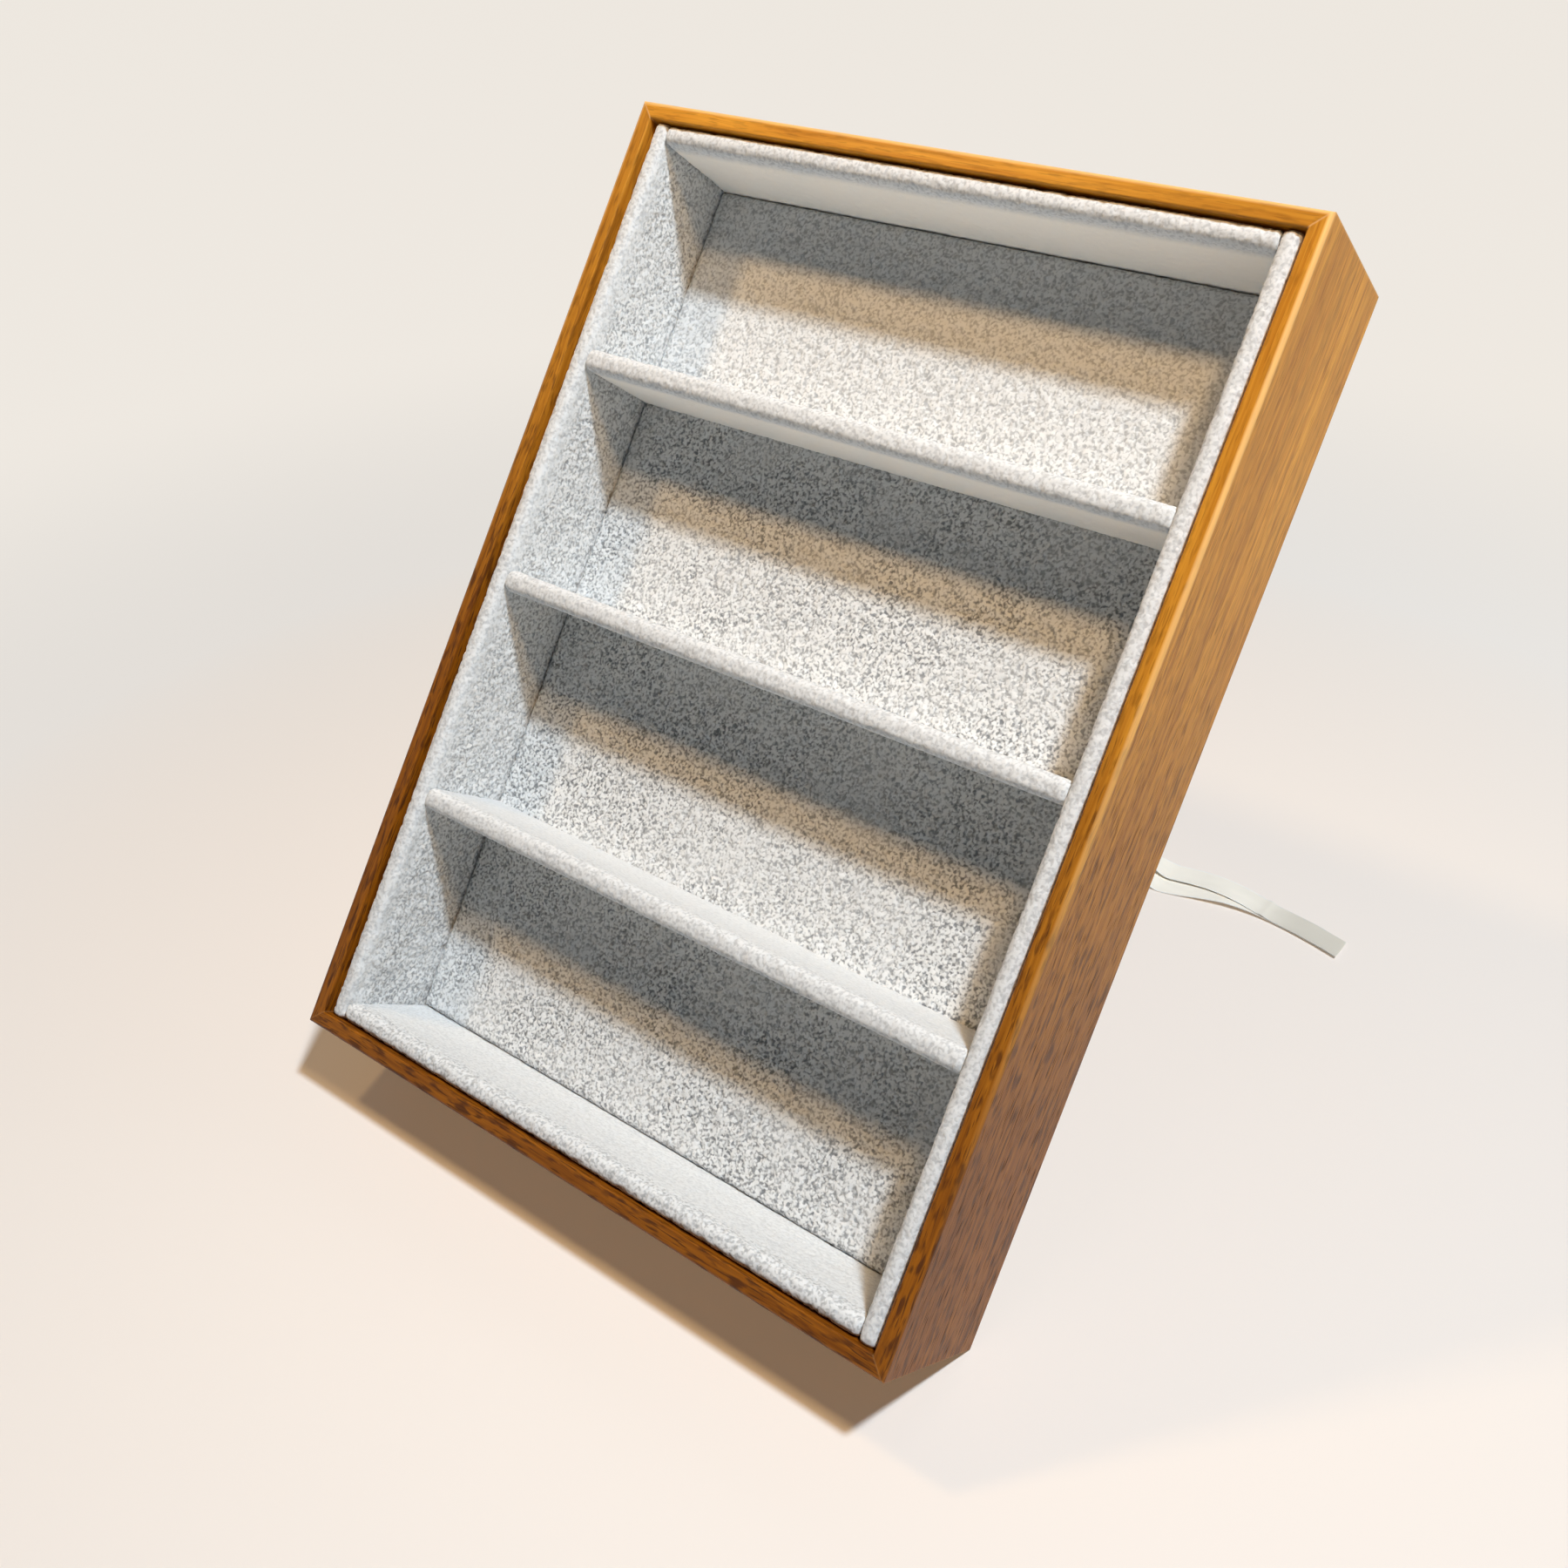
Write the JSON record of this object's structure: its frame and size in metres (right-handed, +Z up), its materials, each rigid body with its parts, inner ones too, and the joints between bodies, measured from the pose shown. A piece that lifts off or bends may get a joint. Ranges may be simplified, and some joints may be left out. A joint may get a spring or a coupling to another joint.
{
  "type": "glasses display box",
  "caption": "Leaning open-front display box for folded glasses, with plush-lined compartments, a fold-out strut leg behind it and a ribbon pull.",
  "frame": {"origin": "on the table, under the middle of the whole object's bounding box, as it stands open", "axes": "+X to the right seen from the front, +Y from the front to the back, +Z up; the case leans back by 36.4 degrees from upright and rests on its lower rear edge and on the leg's foot"},
  "size_m": [0.234, 0.2708, 0.2714],
  "materials": {
    "wood_wrap": "fibreboard wrapped in a satin golden-brown wood-grain film",
    "plush": "short curled light-grey plush",
    "core_board": "plain fibreboard core, hidden in the plush",
    "pine": "planed, unfinished",
    "back_covering": "hardboard with a dark brown paper face",
    "zinc_steel": "pressed and turned steel, zinc plated",
    "nickel_steel": "nickel plated steel, bright",
    "satin": "white satin ribbon, woven edges"
  },
  "bodies": {
    "case": {"wall_top": "wood_wrap", "wall_bottom": "wood_wrap", "wall_left": "wood_wrap", "wall_right": "wood_wrap", "lining_board_top": "core_board", "lining_board_bottom": "core_board", "lining_board_left": "core_board", "lining_board_right": "core_board", "divider_board_1": "core_board", "divider_board_2": "core_board", "divider_board_3": "core_board", "floor_board": "core_board", "lining_plush_top": "plush", "lining_plush_bottom": "plush", "lining_plush_left": "plush", "lining_plush_right": "plush", "divider_plush_1": "plush", "divider_plush_2": "plush", "divider_plush_3": "plush", "floor_plush": "plush", "batten_top": "pine", "batten_bottom": "pine", "batten_left": "pine", "batten_right": "pine", "batten_hinge": "pine", "back_panel": "back_covering", "back_screws": "zinc_steel", "bracket_screws": "zinc_steel", "leg_bracket": "zinc_steel", "leg_pin": "zinc_steel"},
    "leg": {"leg_board": "wood_wrap", "ribbon_rivet": "nickel_steel", "ribbon_washer": "nickel_steel", "pull_ribbon": "satin"}
  },
  "joints": [
    {"name": "leg_hinge", "type": "hinge", "parent": "case", "child": "leg", "pos_m": [-0.007, 0.05224, 0.18741], "axis": [-1, 0, 0], "range_deg": [0, 56.4]}
  ]
}
